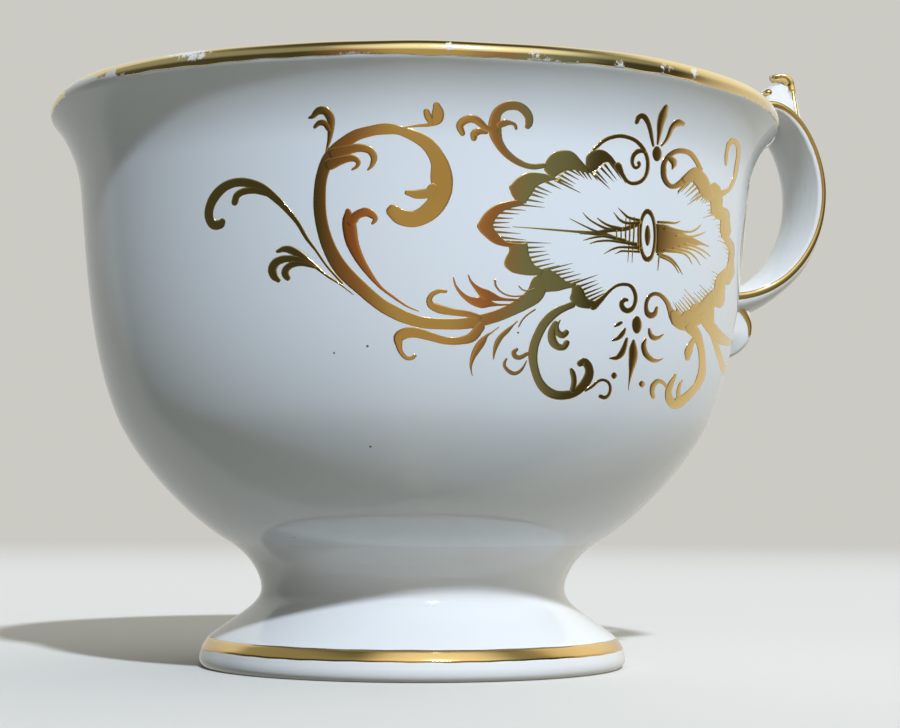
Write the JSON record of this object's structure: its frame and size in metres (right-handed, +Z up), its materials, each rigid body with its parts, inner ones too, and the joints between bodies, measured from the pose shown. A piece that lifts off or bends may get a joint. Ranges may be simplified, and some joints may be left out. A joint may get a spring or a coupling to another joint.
{
  "type": "footed tea cup",
  "caption": "White porcelain tea cup with a flared rim, a waisted hollow pedestal foot and a high ribbon handle with a curled thumb spur, gilded at rim, foot and handle edges.",
  "frame": {"origin": "centre of the bounding box on the surface that the foot ring stands on", "axes": "+X from the cup towards the handle, +Y to the left of the handle, +Z up out of the mouth"},
  "size_m": [0.1059, 0.096, 0.0819],
  "materials": {
    "porcelain": "clear gloss glaze",
    "fired_slip": "fired slip under the glaze",
    "burnished_gold": "burnished gilding with wear"
  },
  "bodies": {
    "root": {"bowl": "porcelain", "pedestal_foot": "porcelain", "handle": "porcelain", "foot_slip_joint": "fired_slip", "handle_upper_slip_joint": "fired_slip", "handle_lower_slip_joint": "fired_slip", "rim_gilt_band": "burnished_gold", "foot_gilt_band": "burnished_gold", "handle_gilt_edge_front": "burnished_gold", "handle_gilt_edge_back": "burnished_gold"}
  },
  "joints": []
}
